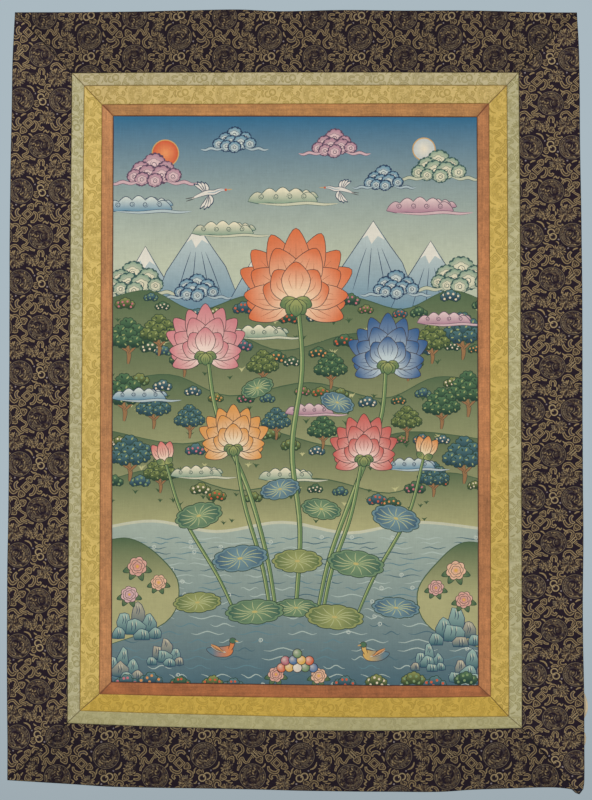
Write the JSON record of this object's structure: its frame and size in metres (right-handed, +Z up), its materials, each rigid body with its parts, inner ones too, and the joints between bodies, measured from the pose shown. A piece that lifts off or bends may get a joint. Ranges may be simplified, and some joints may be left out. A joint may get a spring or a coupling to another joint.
{
  "type": "thangka scroll painting",
  "caption": "Painting on cloth in a sewn mount of woven silk strips with mitred corners, hung by its top edge, with a tie ribbon behind one border.",
  "frame": {"origin": "middle of the top edge, where the hanging is held, in the plane in which it hangs", "axes": "+X to the viewer's right, +Z up, the painted face towards -Y"},
  "size_m": [0.8716, 0.0173, 1.1757],
  "materials": {
    "painted_cloth": null,
    "orange_silk": "plain rust orange slubby silk with a low sheen",
    "yellow_brocade": "golden yellow figured silk, tone on tone scrolls, satin sheen",
    "green_brocade": "pale sage green figured silk, tone on tone scrolls, satin sheen",
    "dark_brocade": "dark purple brown brocade with roundels, knots and clouds outlined in gold-khaki thread",
    "ribbon_silk": "thin warm yellow silk ribbon"
  },
  "bodies": {
    "root": {"painted_cloth": "painted_cloth", "orange_strip_top": "orange_silk", "orange_strip_bottom": "orange_silk", "orange_strip_left": "orange_silk", "orange_strip_right": "orange_silk", "yellow_strip_top": "yellow_brocade", "yellow_strip_bottom": "yellow_brocade", "yellow_strip_left": "yellow_brocade", "yellow_strip_right": "yellow_brocade", "green_strip_top": "green_brocade", "green_strip_bottom": "green_brocade", "green_strip_left": "green_brocade", "green_strip_right": "green_brocade", "outer_border_top": "dark_brocade", "outer_border_bottom": "dark_brocade", "outer_border_left": "dark_brocade", "outer_border_right": "dark_brocade", "tie_ribbon": "ribbon_silk"}
  },
  "joints": []
}
